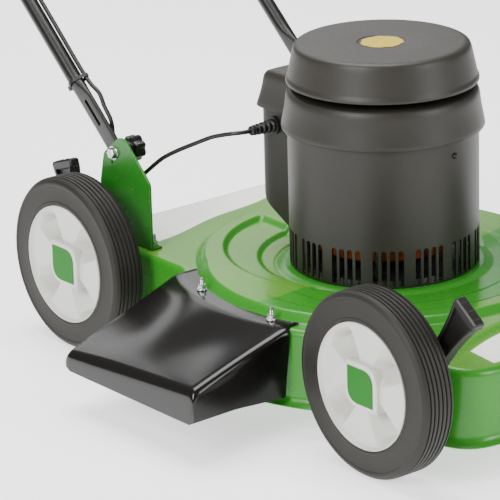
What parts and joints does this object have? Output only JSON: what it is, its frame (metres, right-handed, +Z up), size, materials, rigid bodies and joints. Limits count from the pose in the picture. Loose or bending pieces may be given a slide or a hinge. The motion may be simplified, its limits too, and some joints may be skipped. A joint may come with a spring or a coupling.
{
  "type": "electric rotary lawn mower",
  "caption": "Walk-behind electric rotary mower: pressed deck with a side-discharge chute, round motor housing, wheels on height levers and a folding tube handle.",
  "frame": {"origin": "on the ground, under the middle of the whole mower's box, handle and chute included", "axes": "+Z up, +Y towards the handle, -Y the mower's front, -X its right side, where the chute is"},
  "size_m": [0.631, 1.5116, 0.9579],
  "materials": {
    "green_enamel": "gloss spring-green enamel on pressed steel",
    "black_enamel": "gloss black enamel",
    "cover_plastic": "satin dark grey moulded plastic",
    "black_plastic": "satin black moulded plastic",
    "tyre_rubber": "matt grooved rubber",
    "rim_plastic": "satin off-white moulded plastic",
    "cap_green": "green moulded plastic",
    "handle_enamel": "dark grey baked enamel on tube",
    "bail_steel": "dark grey baked enamel on steel rod",
    "zinc": "bright zinc plating",
    "steel": "machined steel",
    "laminated_steel": "varnished steel laminations",
    "copper_wire": "varnished copper winding",
    "cast_aluminium": "as cast",
    "lead_sheath": "smooth black cable sheath",
    "foam_grip": "closed-cell foam",
    "red_plastic": "red moulded plastic"
  },
  "bodies": {
    "mower": {"deck": "green_enamel", "chute": "black_enamel", "chute_bolt_1": "zinc", "chute_bolt_2": "zinc", "motor_lower_cover": "cover_plastic", "motor_upper_cover": "cover_plastic", "motor_cap": "cover_plastic", "strain_relief": "black_plastic", "cover_screw_1": "black_plastic", "cover_screw_2": "black_plastic", "stator_core": "laminated_steel", "winding_lower": "copper_wire", "winding_upper": "copper_wire", "motor_base_plate": "cast_aluminium", "bearing_bridge": "cast_aluminium", "bearing_lower": "steel", "bearing_upper": "steel", "motor_lead": "lead_sheath", "handle_bracket_right": "green_enamel", "bracket_bolt_right": "zinc", "pivot_bolt_right": "zinc", "handle_bracket_left": "green_enamel", "bracket_bolt_left": "zinc", "pivot_bolt_left": "zinc"},
    "rotor": {"rotor_shaft": "steel", "rotor_core": "laminated_steel", "cooling_fan": "black_plastic", "blade_hub": "cast_aluminium", "blade": "steel", "blade_bolt": "zinc"},
    "height_lever_front_right": {"height_lever_front_right": "black_plastic", "wheel_axle_front_right": "zinc"},
    "wheel_front_right": {"tyre_front_right": "tyre_rubber", "rim_front_right": "rim_plastic", "hub_cap_front_right": "cap_green"},
    "height_lever_front_left": {"height_lever_front_left": "black_plastic", "wheel_axle_front_left": "zinc"},
    "wheel_front_left": {"tyre_front_left": "tyre_rubber", "rim_front_left": "rim_plastic", "hub_cap_front_left": "cap_green"},
    "height_lever_rear_right": {"height_lever_rear_right": "black_plastic", "wheel_axle_rear_right": "zinc"},
    "wheel_rear_right": {"tyre_rear_right": "tyre_rubber", "rim_rear_right": "rim_plastic", "hub_cap_rear_right": "cap_green"},
    "height_lever_rear_left": {"height_lever_rear_left": "black_plastic", "wheel_axle_rear_left": "zinc"},
    "wheel_rear_left": {"tyre_rear_left": "tyre_rubber", "rim_rear_left": "rim_plastic", "hub_cap_rear_left": "cap_green"},
    "handle": {"handle_tube": "handle_enamel", "grip_sleeve": "foam_grip", "switch_box": "black_plastic", "cable_tie": "black_plastic", "handle_lead": "lead_sheath"},
    "bail": {"bail_lever": "bail_steel"},
    "button": {"safety_button": "red_plastic"},
    "knob_right": {"clamp_knob_right": "black_plastic"},
    "knob_left": {"clamp_knob_left": "black_plastic"}
  },
  "joints": [
    {"name": "rotor_spin", "type": "hinge", "parent": "mower", "child": "rotor", "pos_m": [0.0595, -0.37129, 0.06], "axis": [0, 0, 1], "continuous": true},
    {"name": "height_front_right", "type": "hinge", "parent": "mower", "child": "height_lever_front_right", "pos_m": [-0.1325, -0.65729, 0.11], "axis": [1, 0, 0], "range_deg": [-25, 25]},
    {"name": "wheel_spin_front_right", "type": "hinge", "parent": "height_lever_front_right", "child": "wheel_front_right", "pos_m": [-0.1705, -0.62129, 0.11], "axis": [1, 0, 0], "continuous": true},
    {"name": "height_front_left", "type": "hinge", "parent": "mower", "child": "height_lever_front_left", "pos_m": [0.2515, -0.65729, 0.11], "axis": [1, 0, 0], "range_deg": [-25, 25]},
    {"name": "wheel_spin_front_left", "type": "hinge", "parent": "height_lever_front_left", "child": "wheel_front_left", "pos_m": [0.2895, -0.62129, 0.11], "axis": [1, 0, 0], "continuous": true},
    {"name": "height_rear_right", "type": "hinge", "parent": "mower", "child": "height_lever_rear_right", "pos_m": [-0.1325, -0.01529, 0.11], "axis": [1, 0, 0], "range_deg": [-25, 25]},
    {"name": "wheel_spin_rear_right", "type": "hinge", "parent": "height_lever_rear_right", "child": "wheel_rear_right", "pos_m": [-0.1705, -0.05129, 0.11], "axis": [1, 0, 0], "continuous": true},
    {"name": "height_rear_left", "type": "hinge", "parent": "mower", "child": "height_lever_rear_left", "pos_m": [0.2515, -0.01529, 0.11], "axis": [1, 0, 0], "range_deg": [-25, 25]},
    {"name": "wheel_spin_rear_left", "type": "hinge", "parent": "height_lever_rear_left", "child": "wheel_rear_left", "pos_m": [0.2895, -0.05129, 0.11], "axis": [1, 0, 0], "continuous": true},
    {"name": "handle_fold", "type": "hinge", "parent": "mower", "child": "handle", "pos_m": [0.0595, -0.06079, 0.2415], "axis": [1, 0, 0], "range_deg": [0, 130]},
    {"name": "bail_pull", "type": "hinge", "parent": "handle", "child": "bail", "pos_m": [0.0595, 0.6229, 0.8571], "axis": [1, 0, 0], "range_deg": [0, 30], "stiffness_Nm_per_rad": 0.8, "springref_deg": -17.19},
    {"name": "button_press", "type": "slide", "parent": "handle", "child": "button", "axis": [0, 0.6691, -0.7431], "range_m": [0, 0.005], "stiffness_N_per_m": 400, "springref_m": -0.002},
    {"name": "knob_turn_right", "type": "hinge", "parent": "mower", "child": "knob_right", "pos_m": [-0.1072, -0.06079, 0.2415], "axis": [1, 0, 0], "continuous": true},
    {"name": "knob_turn_left", "type": "hinge", "parent": "mower", "child": "knob_left", "pos_m": [0.2262, -0.06079, 0.2415], "axis": [1, 0, 0], "continuous": true}
  ]
}
